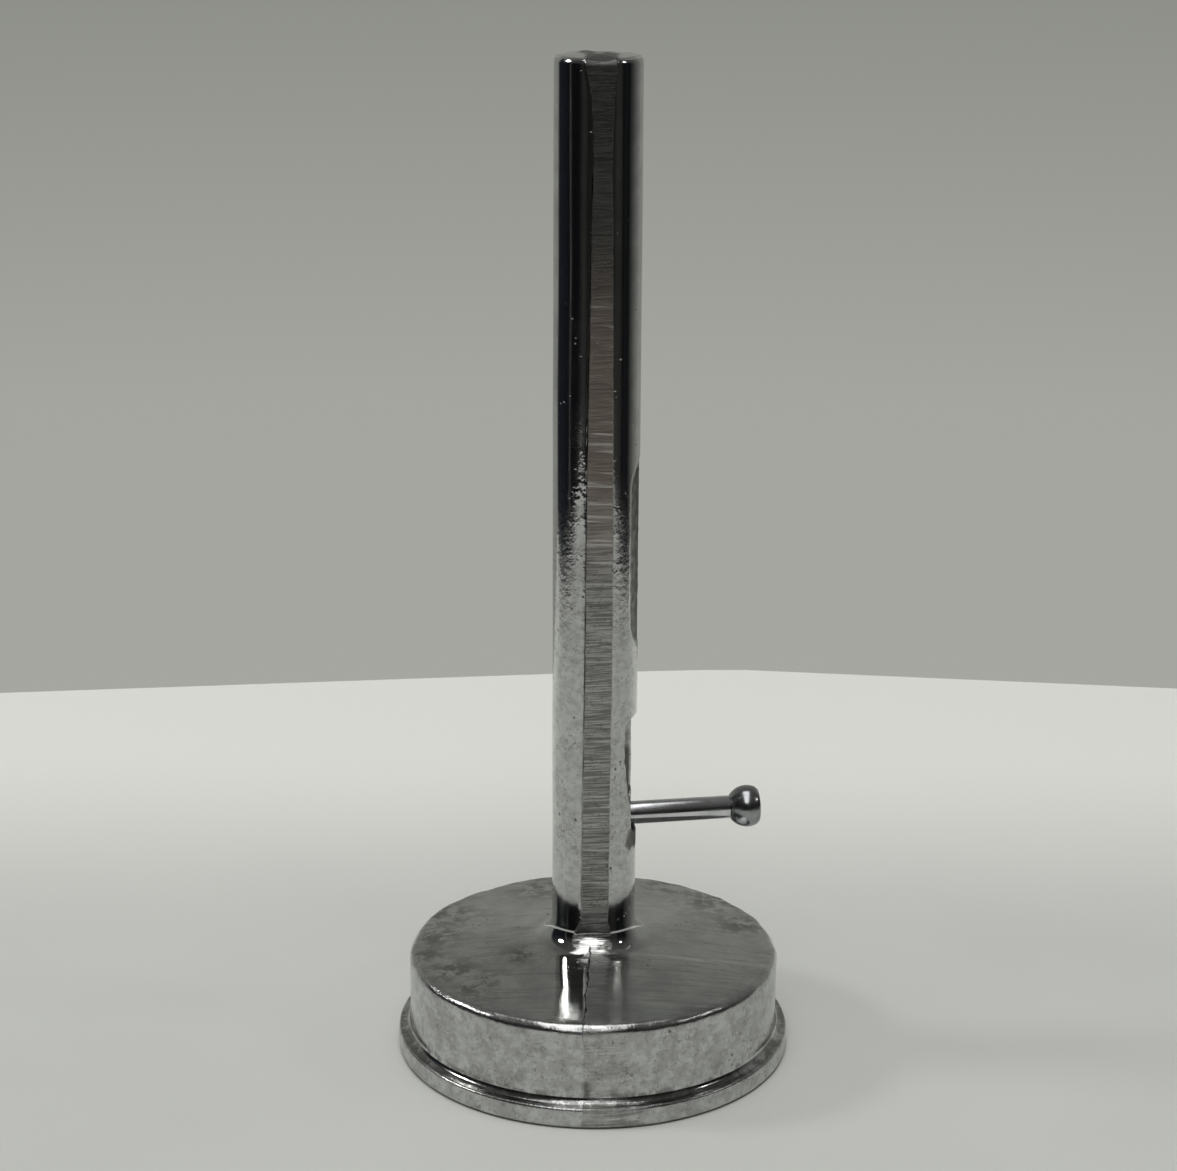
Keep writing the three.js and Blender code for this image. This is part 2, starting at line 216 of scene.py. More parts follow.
def cup_wear(points):
    """How far the cup and flange stand off their true shape: low waves everywhere, a shallow trough on the
    left of the parting line in front, and a wavy worn edge round the cup's top."""
    x, y = points[..., 0], points[..., 1]
    radius = np.hypot(x, y)
    wear = 0.03 * lumps(points, 26, 11) + 0.012 * lumps(points, 7, 12)
    front = ease(-y, 8, 11)
    wear -= front * 0.08 * ease(x, -11, -4) * (1 - ease(x, -3.2, PARTING_X))
    edge = np.exp(-(((radius - CUP_RADIUS + 0.6) / 1.1) ** 2)) * ease(points[..., 2], 14.5, 17.6)
    wear += edge * (0.09 * lumps(points, 9, 15) + 0.05 * lumps(points, 3, 16) - 0.05)
    return wear


def slot_outline(across, rise, grow, share):
    """Points of the slot's round-cornered outline for points on the edge of a unit square: the point is drawn
    in to the rectangle that the corner arcs are centred on, and pushed out from there by the corner's radius.
    The front edge was filed back over its upper part, by the given share of the whole, with a nick part of
    the way up."""
    half_height = (SLOT_HEAD - SLOT_FOOT) / 2
    wide, tall = across * SLOT_HALF_WIDTH, rise * half_height
    core_wide = np.clip(wide, SLOT_CORNER - SLOT_HALF_WIDTH, SLOT_HALF_WIDTH - SLOT_CORNER)
    core_tall = np.clip(tall, SLOT_CORNER - half_height, half_height - SLOT_CORNER)
    out_wide, out_tall = wide - core_wide, tall - core_tall
    size = np.hypot(out_wide, out_tall)
    y = core_wide + out_wide / size * (SLOT_CORNER + grow)
    z = core_tall + out_tall / size * (SLOT_CORNER + grow) + (SLOT_FOOT + SLOT_HEAD) / 2
    points = np.stack([0 * y, 0 * y, z], axis=-1)
    wander = 0.08 * lumps(points, 6, 21) + 0.04 * lumps(points, 2.3, 22)
    front = ease(-y, 1.5, 3)
    nick = np.exp(-(((z - 55.5) / 0.35) ** 2))
    y = y - share * front * (1.5 * ease(z, 43.6, 54.5) + 0.12 * ease(z, 55.3, 55.9) + wander + 0.25 * nick)
    return y + ease(y, 1.5, 3) * wander, z


def grid_faces(numbers, closed=False, keep=True, flip=False):
    """Four-sided faces between the rows of a grid of vertex numbers. The rows may close on themselves, and
    only the cells marked in keep are made. flip turns the faces over."""
    beside = np.roll(numbers, -1, axis=1)
    faces = np.stack([numbers[:-1], beside[:-1], beside[1:], numbers[1:]], axis=-1)
    faces = faces[keep] if closed else faces[:, :-1]
    return (faces[..., [0, 3, 2, 1]] if flip else faces).reshape(-1, 4)


def fan(middle, ring):
    """Triangles from a middle vertex to each side of a closed ring."""
    return np.stack([np.full_like(ring, middle), ring, np.roll(ring, -1)], axis=1).tolist()


def casting_mesh():
    """The casting as one closed skin. Each profile row is carried round Z; the row's points then move along
    the profile's normal by the skin's own height. Round the slot a window is left in the handle's outer rows
    and in the bore's. Rings go part way from the outer window's square edge to the slot's outline, then down
    the slot's wall, and then part way to the bore window's edge, and close the skin."""
    rows, flange_side, tube_start, inner_window, outer_window, window_rows = casting_profile()
    turns = crowded(-math.pi, math.pi, COLUMNS + 1, [
        (math.asin(-1.7 / HANDLE_RADIUS) - math.pi / 2, 0.05, 2.2),
        (math.asin(2.95 / HANDLE_RADIUS) - math.pi / 2, 0.06, 1.0),
        (math.asin(1.7 / HANDLE_RADIUS) + math.pi / 2, 0.06, 0.8)])[:-1]
    ahead = np.roll(rows, -1, axis=0) - np.roll(rows, 1, axis=0)
    ahead[0], ahead[-1] = (1, 0), (-1, 0)
    normal = np.stack([ahead[:, 1], -ahead[:, 0]], axis=1)
    normal /= np.linalg.norm(normal, axis=1)[:, None]

    turn, index = np.meshgrid(turns, np.arange(len(rows)))
    base_r, base_z = rows[index, 0], rows[index, 1]
    points = round_z(base_r, turn, base_z)
    move = np.where((index >= flange_side) & (index < tube_start), cup_wear(points), 0)
    skin = handle_skin(turn, base_z) - HANDLE_RADIUS
    blend = ease(base_z, ROOT_TOP - 0.9 * ROOT_FILLET, ROOT_TOP) * (base_r < HANDLE_RADIUS + ROOT_FILLET)
    blend = blend * (index > tube_start - ROOT_ROWS) * ease(base_r, 2, HANDLE_RADIUS - 1.5)
    move = np.where(blend > 0, part_way(move, skin, blend), move)
    top = (base_z > HANDLE_TOP - 0.5) & (base_r < HANDLE_RADIUS)
    dome = 0.35 * (base_r / HANDLE_RADIUS) ** 2
    move = np.where(top, move - 0.05 - dome + 0.04 * lumps(points, 6, 17), move)
    at_rim = (base_r > FLANGE_RADIUS - 1) & (base_z < FLANGE_TOP)
    move = np.where(at_rim, np.minimum(0.6 * move - 0.03, 0.05), move)
    move = np.where(base_z < 0.01, -np.abs(move) * 0.3, move)
    points += round_z(move * normal[index, 0], turn, move * normal[index, 1])

    numbers = np.arange(turn.size).reshape(turn.shape)
    columns = np.flatnonzero(np.abs(turns) < PATCH_HALF_ANGLE)
    left, right = columns[0], columns[-1]
    keep = np.ones((len(rows) - 1, len(turns)), bool)
    for first in (outer_window, inner_window):
        keep[first:first + window_rows - 1, left:right] = False

    def border(first, grid):
        """A grid's values round a window, from its low left corner, along, up, back and down."""
        patch = grid[first:first + window_rows, left:right + 1]
        patch = patch if first == outer_window else patch[::-1]
        return np.concatenate([patch[0, :-1], patch[:-1, -1], patch[-1, :0:-1], patch[:0:-1, 0]])

    edge_turn, edge_z = border(outer_window, turn), border(outer_window, base_z)
    across = (edge_turn - (turns[left] + turns[right]) / 2) / ((turns[right] - turns[left]) / 2)
    rise = (edge_z - (PATCH_FOOT + PATCH_HEAD) / 2) / ((PATCH_HEAD - PATCH_FOOT) / 2)
    rings = []
    y, z = slot_outline(across, rise, SLOT_EDGE_ROUND, 1)
    for share in (1 - np.linspace(1, 0, 13)[1:] ** 1.3):
        ring_turn = part_way(edge_turn, np.arcsin(y / HANDLE_RADIUS), share)
        ring_z = part_way(edge_z, z, share)
        rings.append(round_z(handle_skin(ring_turn, ring_z), ring_turn, ring_z))
    for angle in np.radians([30, 60, 90]):
        y, z = slot_outline(across, rise, SLOT_EDGE_ROUND * (1 - math.sin(angle)), 1)
        x = np.sqrt((HANDLE_RADIUS - 0.03) ** 2 - y**2) - SLOT_EDGE_ROUND * (1 - math.cos(angle))
        rings.append(np.stack([x, y, z], axis=1))
    y = slot_outline(across, rise, 0, SLOT_INNER_SHARE)[0]
    inner_edge = np.stack([np.sqrt(BORE_RADIUS**2 - y**2), y, z], axis=1)
    rings += [part_way(rings[-1], inner_edge, share) for share in np.linspace(0, 1, 7)[1:]]
    for share in np.linspace(0, 1, 5)[1:-1]:
        rings.append(round_z(BORE_RADIUS, part_way(np.arcsin(y / BORE_RADIUS), edge_turn, share),
                             part_way(z, edge_z, share)))

    ring_numbers = turn.size + np.arange(len(rings) * len(y)).reshape(len(rings), -1)
    bridge = np.stack([border(outer_window, numbers), *ring_numbers, border(inner_window, numbers)])
    faces = np.concatenate([grid_faces(numbers, True, keep), grid_faces(bridge, True)])
    ends = np.array([[0, 0, BORE_TOP], [0, 0, HANDLE_TOP - 0.1]])
    total = turn.size + ring_numbers.size
    return (np.concatenate([points.reshape(-1, 3), *rings, ends]),
            faces.tolist() + fan(total, numbers[0][::-1]) + fan(total + 1, numbers[-1]))


def placed(name, data):
    """A new object, linked into the scene."""
    thing = bpy.data.objects.new(name, data)
    bpy.context.scene.collection.objects.link(thing)
    return thing


def new_piece(name, points, faces, body, cad_node, finish, material, crease=40, marks=None):
    """A mesh object from points in millimetres, placed in its mesh, smooth except at creases sharper than the
    angle given. It rides on a body and stands for a CAD node. finish is not used. marks are numbers kept
    at each vertex for the material to read."""
    used, faces_flat = np.unique(np.concatenate([np.ravel(face) for face in faces]), return_inverse=True)
    lengths = np.array([len(face) for face in faces])
    starts = np.concatenate([[0], np.cumsum(lengths)[:-1]])
    mesh = bpy.data.meshes.new(name)
    mesh.vertices.add(len(used))
    mesh.vertices.foreach_set("co", (np.asarray(points)[used] / 1000).astype(np.float32).ravel())
    mesh.loops.add(len(faces_flat))
    mesh.loops.foreach_set("vertex_index", faces_flat.ravel().astype(np.int32))
    mesh.polygons.add(len(lengths))
    mesh.polygons.foreach_set("loop_start", starts.astype(np.int32))
    for mark, values in (marks or {}).items():
        mesh.attributes.new(mark, "FLOAT", "POINT").data.foreach_set("value", values[used].astype(np.float32))
    mesh.update(calc_edges=True)
    mesh.validate()
    mesh.shade_smooth()
    mesh.set_sharp_from_angle(angle=math.radians(crease))
    mesh.materials.append(material)
    piece = placed(name, mesh)
    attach(piece, body)
    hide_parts(cad_node)
    return piece


class Nodes:
    """A node tree that is built up node by node."""

    def __init__(self, tree):
        self.tree = tree

    def feed(self, sockets, inputs):
        """Sets each socket named to a value, or links it to another node's output."""
        for key, value in inputs.items():
            if isinstance(value, bpy.types.NodeSocket):
                self.tree.links.new(value, sockets[key])
            else:
                sockets[key].default_value = value

    def add(self, kind, inputs=None, **settings):
        node = self.tree.nodes.new(kind)
        for key, value in settings.items():
            setattr(node, key, value)
        self.feed(node.inputs, inputs or {})
        return node

    def span(self, value, low, high, out_low=0.0, out_high=1.0, smooth=True):
        """The value carried from one range to another and kept inside it."""
        return self.add("ShaderNodeMapRange", {"Value": value, "From Min": low, "From Max": high,
                                               "To Min": out_low, "To Max": out_high},
                        interpolation_type="SMOOTHSTEP" if smooth else "LINEAR").outputs[0]

    def maths(self, operation, first, second=0.5):
        return self.add("ShaderNodeMath", {0: first, 1: second}, operation=operation).outputs[0]

    def times(self, first, *others):
        for other in others:
            first = self.maths("MULTIPLY", first, other)
        return first

    def plus(self, first, second):
        return self.maths("ADD", first, second)

    def most(self, first, second):
        return self.maths("MAXIMUM", first, second)

    def opposite(self, share):
        """1 less the share."""
        return self.maths("SUBTRACT", 1.0, share)

    def mixed(self, share, first, second, blend="MIX"):
        """Colour that goes from the first to the second as the share goes from 0 to 1."""
        first, second = ((*colour, 1) if isinstance(colour, tuple) else colour for colour in (first, second))
        return self.add("ShaderNodeMix", {0: share, 6: first, 7: second}, data_type="RGBA",
                        blend_type=blend).outputs[2]


class Finish(Nodes):
    """A material on its way."""

    def __init__(self, name):
        self.material = bpy.data.materials.new(name)
        self.material.use_nodes = True
        super().__init__(self.material.node_tree)
        self.shader = self.tree.nodes["Principled BSDF"]
        self.place = self.add("ShaderNodeTexCoord").outputs["Object"]

    def stretched(self, scale, turn=(0, 0, 0)):
        """Object coordinates in metres, turned and then multiplied by a scale on each axis."""
        turned = self.add("ShaderNodeMapping", {"Vector": self.place, "Rotation": turn}).outputs[0]
        return self.add("ShaderNodeMapping", {"Vector": turned, "Scale": scale}).outputs[0]

    def noise(self, scale, detail=3, rough=0.55, turn=(0, 0, 0)):
        """Noise with one lump to 1 / scale metres on each axis."""
        vector = self.stretched((scale,) * 3 if np.isscalar(scale) else scale, turn)
        return self.add("ShaderNodeTexNoise", {"Vector": vector, "Scale": 1, "Detail": detail,
                                               "Roughness": rough}).outputs["Fac"]

    def mark(self, name):
        return self.add("ShaderNodeAttribute", attribute_name=name).outputs["Fac"]

    def relief(self, *layers):
        """Layers of relief, each (height, depth in metres) and each on top of the one before."""
        normal = None
        for height, depth in layers:
            under = {} if normal is None else {"Normal": normal}
            normal = self.add("ShaderNodeBump", {"Height": height, "Distance": depth, "Strength": 1.0,
                                                 **under}).outputs["Normal"]
        return normal

    def metal(self, colour, roughness, normal):
        self.feed(self.shader.inputs, {"Metallic": 1.0, "Base Color": colour, "Roughness": roughness,
                                       "Normal": normal})
        return self.material


def cast_aluminium():
    """Bright cast skin, mirror-like up the handle, curled and mottled lower down and on the cup's side,
    cross-lined where the file took off the parting line, dark in the seam beside it, partly as painted shade
    in its groove, ground dull under the slot, pitted along the worn edges, and stained and scratched on the
    cup's top, where the mould's joint shows as a fine line. A painted contact shadow darkens the flange's
    foot, painted shade darkens the ledge above the flange on top of its stains, and the cup's side is darker."""
    look = Finish("cast_aluminium")
    span, times, most, noise = look.span, look.times, look.most, look.noise
    marks = ("filed", "ground_and_foot_shadow", "stained_and_shaded", "low", "curled", "seam_and_groove_shade", "polished", "combed", "worn")
    filed, ground_and_foot_shadow, stained_and_shaded, low, curled, seam_and_groove_shade, polished, combed, worn = (look.mark(name) for name in marks)

    across, deep, height = look.add("ShaderNodeSeparateXYZ", {0: look.place}).outputs
    on_cup = times(span(deep, -0.0078, -0.009), span(height, 0.0228, 0.0212))
    on_top = times(on_cup, span(height, 0.0150, 0.0176, 0.12, 1.0))
    wander = look.plus(times(noise(170, 2), 0.0014), times(noise(1500, 3, 0.7), 0.0007))
    drift = times(look.plus(deep, 0.0115), -0.046)
    off_joint = look.plus(look.plus(across, drift), look.maths("SUBTRACT", wander, 0.0004))
    right_side = span(off_joint, -0.00009, 0.00009)
    thin = times(look.maths("ABSOLUTE", off_joint), span(noise(600, 2), 0.4, 0.6, 1.0, 2.6))
    joint_line = times(on_top, span(thin, 0.00026, 0.00010))
    filed = times(filed, most(right_side, look.opposite(on_cup)))
    # The fine joint line on the cup's top joins the dark parting-line mark.
    seam_and_groove_shade = most(seam_and_groove_shade, times(joint_line, span(noise(220, 2), 0.3, 0.5, 0.3, 1.0)))

    patches, skin = noise(120, 5, 0.64), noise(700, 4, 0.6)
    fine_marks = noise((80, 1000, 3000), 4, 0.7, turn=(0, 0.03, 0))
    coarse_marks = noise((60, 60, 800), 2, 0.6, turn=(0, -0.05, 0))
    ridge_marks = noise((60, 60, 1300), 2, 0.5, turn=(0, -0.06, 0))
    top_marks = noise((50, 1000, 900), 4, 0.7, turn=(0, 0, 0.04))
    curls = look.maths("ABSOLUTE", look.maths("SUBTRACT", noise(520, 2, 0.55), 0.5))
    curled = times(curled, span(noise(330, 3), 0.42, 0.62, 0.15, 1.0))
    pit_field = look.add("ShaderNodeTexVoronoi", {"Vector": look.place, "Scale": 900.0}).outputs["Distance"]
    pits = times(span(pit_field, 0.26, 0.12), span(noise(210, 2), 0.58, 0.68))
    stain_and_shade = times(stained_and_shaded, span(noise(330, 5, 0.7), 0.44, 0.56))
    lines = times(filed, look.opposite(span(fine_marks, 0.43, 0.54)),
                  span(most(low, polished), 0.0, 0.8, 0.4, 1.0))
    groups = times(filed, look.opposite(span(coarse_marks, 0.34, 0.56)))
    creases = times(span(curls, 0.022, 0.0), span(noise(230, 3), 0.5, 0.62))
    brown = times(span(height, 0.152, 0.130), span(height, 0.076, 0.095))

    bright = look.mixed(span(patches, 0.36, 0.66), (0.60, 0.607, 0.597), (0.46, 0.467, 0.46))
    lower = look.mixed(span(skin, 0.34, 0.60), (0.42, 0.427, 0.42), (0.58, 0.587, 0.58))
    filed_metal = look.mixed(brown, (0.17, 0.172, 0.163), (0.40, 0.335, 0.305))
    filed_metal = look.mixed(most(low, polished), filed_metal, (0.62, 0.62, 0.60))
    colour = look.mixed(filed, look.mixed(times(low, 0.7), bright, lower), filed_metal)
    for share, strength, shade in (
            (lines, 0.62, (0.09, 0.088, 0.082)),
            (groups, 0.22, (0.13, 0.128, 0.12)),
            (times(brown, filed, span(ridge_marks, 0.60, 0.68)), 0.7, (0.86, 0.85, 0.82)),
            (times(creases, low), 0.85, (0.2, 0.2, 0.19)),
            (times(span(noise(1300, 3, 0.7), 0.56, 0.66), low), 0.5, (0.22, 0.22, 0.21)),
            (times(span(top_marks, 0.5, 0.66), combed), 0.75, (0.24, 0.24, 0.23)),
            (pits, 0.7, (0.10, 0.098, 0.09)),
            # Stains, with painted shade on the ledge above the flange.
            (stain_and_shade, 0.75, (0.13, 0.128, 0.12)),
            # Ground patches, and the painted contact shadow round the flange's foot.
            (ground_and_foot_shadow, 0.75, (0.17, 0.166, 0.16)),
            # The dark parting line, partly painted shade in its groove.
            (seam_and_groove_shade, 0.9, (0.03, 0.03, 0.028))):
        colour = look.mixed(times(share, strength), colour, shade)

    roughness = look.plus(span(patches, 0.3, 0.72, 0.07, 0.14), times(low, 0.08))
    for mark, more in ((filed, 0.30), (stain_and_shade, 0.12), (ground_and_foot_shadow, 0.25), (combed, 0.04), (worn, 0.05)):
        roughness = look.plus(roughness, times(mark, more))
    kept = span(polished, 0, 1, 1.0, 0.3, smooth=False)  # the share of the relief that the polish leaves

    relief = look.relief(
        (times(skin, times(kept, span(low, 0, 1, 0.1, 1.0))), 0.00005),
        (times(noise((1700, 1700, 60), 3), kept), 0.000008),
        (times(curls, curled), 0.00016),
        (times(pits, -1.0), 0.00006),
        (times(lines, -1.0), 0.00003),
        (times(noise(2000, 3, 0.65), worn), 0.00007),
        (times(right_side, on_top), 0.00006),
        (times(joint_line, -1.0), 0.00008),
        (times(coarse_marks, filed, kept), 0.00004),
        (times(top_marks, combed), 0.00003))
    # The dark specular tint dulls the ground patches and deepens the painted shadow at the flange's foot and
    # the painted shade in the parting line's groove.
    tint = look.mixed(most(ground_and_foot_shadow, seam_and_groove_shade), (1.0, 1.0, 1.0), (0.25, 0.24, 0.23))
    look.feed(look.shader.inputs, {"Specular Tint": tint})
    return look.metal(colour, times(roughness, kept), relief)


def casting_marks(points):
    """Where the marks on the casting lie, as numbers from 0 to 1. Each is a product of eased steps across its
    own borders: filed by the file, ground by the wheel and also a painted contact shadow round the flange's
    foot, stained for stains on the cup's top and the ledge, with painted shade added on the ledge, and darker
    down the cup's side, low for the coarse skin, curled for the curled skin, seam for the dark parting line,
    partly painted shade in its groove, polished, combed for the cup top's scratches, and worn along the edges."""
    x, y, z = points.T
    radius, turn = np.hypot(x, y), np.arctan2(y, x)
    wander = file_wander(points)
    middle, half = filed_band(z)
    on_handle = ease(-radius, -9.8, -8.4) * (z > CUP_TOP + 1)
    cup_top = z > CUP_TOP - 1
    under_edge = z < CUP_TOP - 1

    band_front = ease(half + 0.3 * wander - np.abs(x - middle), -0.12, 0.12) * (y < 0)
    band_back = ease(half - np.abs(x + middle), -0.12, 0.12) * (y > 0)
    filed = on_handle * np.maximum(band_front, band_back)
    filed *= 1 - 0.6 * ease(-z, -24.6, -23.6) * (x < middle + 1)
    right_of_joint = ease(x, PARTING_X - 1.6, PARTING_X - 0.8) * (1 - ease(x, 3.5, 8)) * ease(-y, 7, 8)
    on_cup_top = (z > CUP_TOP - 0.6) * ease(radius, 7, 10) * (1 - on_handle) * ease(-radius, -32, -30)
    on_side = (z < CUP_TOP - 0.6) * (z > FLANGE_TOP)
    on_flange = (z < FLANGE_TOP + 0.3) * ease(-y, 30, 31) * ease(8.5 - np.abs(x), -1.5, 1)
    for place in (right_of_joint * on_cup_top * 0.55, on_flange * 0.8, right_of_joint * on_side * 0.35):
        filed = np.maximum(filed, place)

    lean = 0.28 * np.maximum(z - 41, 0)
    beside_slot = ease(x + 0.35 * lumps(points, 2.2, 19), 5.5 + lean, 6.1 + lean) * (y < 0)
    beside_slot *= on_handle * ease(z + 0.3 * lumps(points, 2, 20), 38.2, 38.8) * ease(-z, -46.5, -44)
    in_slot = (radius < HANDLE_RADIUS - 0.3) * (x > 4) * (z > SLOT_FOOT - 1) * (z < SLOT_HEAD + 1)
    in_slot = in_slot * (0.35 + 0.65 * ease(-z, -56, -55))
    in_panel = 4.6 - np.hypot(HANDLE_RADIUS * turn, np.maximum(np.abs(z - PANEL_HEIGHT) - 11.7, 0))
    panel = ease(in_panel, -0.2, 0.4) * on_handle * (0.85 + 0.15 * np.clip(lumps(points, 1.5, 24), -1, 1))
    # Painted shadow: the foot's rounding is darkened where it meets the table, a contact shadow carried by the
    # ground mark.
    painted_foot_shadow = 0.9 * (z < 0.5) * (radius > FLANGE_RADIUS - 0.8)
    ground_and_foot_shadow = np.maximum(np.maximum(beside_slot, in_slot), np.maximum(panel, painted_foot_shadow))

    stained_and_shaded = np.zeros_like(x)
    for sx, sy, size in ((-29, 3, 5.5), (-25, -12, 5), (-20, -18, 5), (-27, 12, 6), (22, 20, 7), (27, 9, 5),
                         (14, 26, 5), (-10, 24, 6), (-13, -8, 3.5), (-30, -5, 4)):
        stained_and_shaded = np.maximum(stained_and_shaded, np.exp(-(((x - sx) ** 2 + (y - sy) ** 2) / size**2)))
    stained_and_shaded *= z > CUP_TOP - 1.5
    # Painted shade: the ledge above the flange is darkened on top of its stains, standing in for the dark the
    # ledge reflects. The cup's side below its edge is made darker too.
    ledge = (z < FLANGE_TOP + 1.6) * (z > FLANGE_TOP - 0.1) * (radius > 33)
    stained_and_shaded = np.maximum(stained_and_shaded, np.maximum(0.9 * ledge, 0.35 * under_edge * (radius > 30)))

    low = (1 - ease(z, 78, 112)) * np.maximum(ease(z, 29, 34), 0.9 * filed * on_handle * ease(z, 24.5, 26))
    low = np.maximum(low, np.maximum(0.9 * (radius > 31) * under_edge, 0.25 * (radius > 10) * cup_top))
    wide = np.where(x < middle, 2.6, 1.2)
    beside = np.exp(-(((np.abs(x - middle) - half - 0.4 * wide) / wide) ** 2)) * (y < 0)
    curled = on_handle * ease(z, 76, 90) * ease(-z, -122, -104) * (0.2 + 0.8 * beside)
    curled = np.maximum(curled * np.where(x < middle, 1, 0.7), 0.22 * low)

    # The dark line down the parting line is partly a dark joint and partly painted shade in its groove; the
    # notch below joins it.
    seam_and_groove_shade = on_handle * np.exp(-(((x - middle + half - 0.3 * wander + 0.05) / 0.13) ** 2)) * (y < 0)
    seam_and_groove_shade *= ease(z, 30, 50) * ease(-z, -172, -160)
    seam_and_groove_shade *= 0.55 + 0.45 * ease(lumps(points * [0, 0, 1], 8, 5), -0.6, 0.4)
    notch = np.exp(-(((x - PARTING_X) / 0.35) ** 2)) * ease(-y, 30, 31)
    seam_and_groove_shade = np.maximum(seam_and_groove_shade, 0.9 * notch * ease(z, 4.5, 5.2) * ease(-z, -8.6, -7.2))

    strip = ease(-np.abs(x + 0.5), -9.5, -7) * (y < 0)
    strip *= 0.9 - 0.4 * ease(x, PARTING_X - 0.1, PARTING_X + 0.3)
    strip *= 0.7 + 0.3 * ease(-radius, -31, -17)
    polished = np.maximum(ease(-radius, -11, -8.5), strip) * ease(-z, -31, -25) * cup_top
    polished = np.maximum(polished, 0.6 * ledge) * (1 - 0.8 * filed * ease(z, 25, 26.5))
    combed = cup_top * ease(radius, 9, 13) * (0.5 + 0.5 * right_of_joint * strip / strip.max())

    edge = np.exp(-(((radius - CUP_RADIUS + 0.5) / 1.0) ** 2)) * (z > CUP_TOP - 2.2)
    far_strip = cup_top * ease(radius, 21, 31) * strip
    flange_edge = (z < FLANGE_TOP + 0.2) * (z > FLANGE_TOP - 1.2) * (radius > FLANGE_RADIUS - 1.2)
    worn = np.maximum(np.maximum(edge, 0.35 * far_strip), 0.7 * flange_edge)
    return {"filed": filed, "ground_and_foot_shadow": ground_and_foot_shadow, "stained_and_shaded": stained_and_shaded, "low": low, "curled": curled, "seam_and_groove_shade": seam_and_groove_shade,
            "polished": polished, "combed": combed, "worn": worn}


casting_points, casting_faces = casting_mesh()
new_piece("casing_casting", casting_points, casting_faces, "body", "casing", "cast_aluminium",
          cast_aluminium(), marks=casting_marks(casting_points))

# ---- Plunger rod ---------------------
# A turned aluminium rod that slides in the bore and shows through the slot. Its foot is tapped for the disc's
# screw and its side is drilled for the lever.

ROD_RADIUS = 5.3
ROD_FOOT, ROD_TOP = 3.1, 65.95
TAP_RADIUS, TAP_TOP = 2.15, 12.9
LEVER_HEIGHT = 43.6
LEVER_TURN = math.radians(9.92)  # the lever leans to the back until it lies against the slot's side


def eased(profile, radius, steps=4):
    """A profile with each inner corner rounded: two points set back from the corner along its sides, joined
    by the curve (1-t)^2 a + 2t(1-t) corner + t^2 b."""
    profile = np.array(profile, float)
    rounded = [profile[:1]]
    for before, corner, after in zip(profile[:-2], profile[1:-1], profile[2:]):
        into, out = corner - before, after - corner
        reach = min(radius, 0.45 * np.hypot(*into), 0.45 * np.hypot(*out))
        a, b = corner - into / np.hypot(*into) * reach, corner + out / np.hypot(*out) * reach
        t = np.linspace(0, 1, steps)[:, None]
        rounded.append((1 - t) ** 2 * a + 2 * t * (1 - t) * corner + t**2 * b)
    return np.concatenate([*rounded, profile[-1:]])


def turned_mesh(profile, segments, closed=False):
    """A solid of revolution about Z: each profile point (radius, height) is carried round a circle. The
    profile runs with the metal on its left. It starts and ends on the axis, where each end row meets at one
    point, or closed says that it ends where it started."""
    profile = np.array(profile, float)
    inner = profile[:-1] if closed else profile[1:-1]
    turn = np.linspace(0, 2 * np.pi, segments, endpoint=False)
    points = round_z(inner[:, :1], turn, inner[:, 1:]).reshape(-1, 3)
    numbers = np.arange(len(points)).reshape(len(inner), segments)
    if closed:
        return points, grid_faces(np.concatenate([numbers, numbers[:1]]), True).tolist()
    ends = [[0, 0, profile[0, 1]], [0, 0, profile[-1, 1]]]
    caps = fan(len(points), numbers[0][::-1]) + fan(len(points) + 1, numbers[-1])
    return np.concatenate([points, ends]), grid_faces(numbers, True).tolist() + caps


def turned_metal():
    """Metal from the lathe: fine rings along Z, broad cloudy wear, and small pits."""
    look = Finish("turned_rod")
    rings, cloud = look.noise((40, 40, 5200), 2), look.noise(130, 4, 0.6)
    colour = look.mixed(look.span(cloud, 0.35, 0.68), (0.62, 0.625, 0.615), (0.42, 0.42, 0.41))
    rough = look.plus(look.span(cloud, 0.3, 0.7, 0.25, 0.39), look.span(rings, 0.3, 0.7, 0, 0.05))
    return look.metal(colour, rough, look.relief((look.noise(1100, 2), 0.000012), (rings, 0.00002)))


rod_profile = eased([(0, TAP_TOP), (TAP_RADIUS, TAP_TOP), (TAP_RADIUS, ROD_FOOT), (ROD_RADIUS, ROD_FOOT),
                     (ROD_RADIUS, ROD_TOP), (0, ROD_TOP)], 0.5)
new_piece("plunger_rod_turned", *turned_mesh(rod_profile, 96), "plunger", "plunger_rod", "turned_aluminium",
          turned_metal())

# ---- Ejector disc --------------------
# A turned aluminium disc, countersunk in the middle, that fills the cup's mouth at rest and pushes the patty
# out.

DISC_RADIUS = 29.65
DISC_FOOT, DISC_TOP = 0.6, 3.0
SCREW_HEAD_RADIUS, SCREW_RADIUS, SCREW_HEAD_DEPTH = 3.9, 2.0, 1.9
SCREW_GAP = 0.15
FACE_START = 16  # the profile's loop starts out on the flat face, away from its corners
RING_PITCH = 0.00055


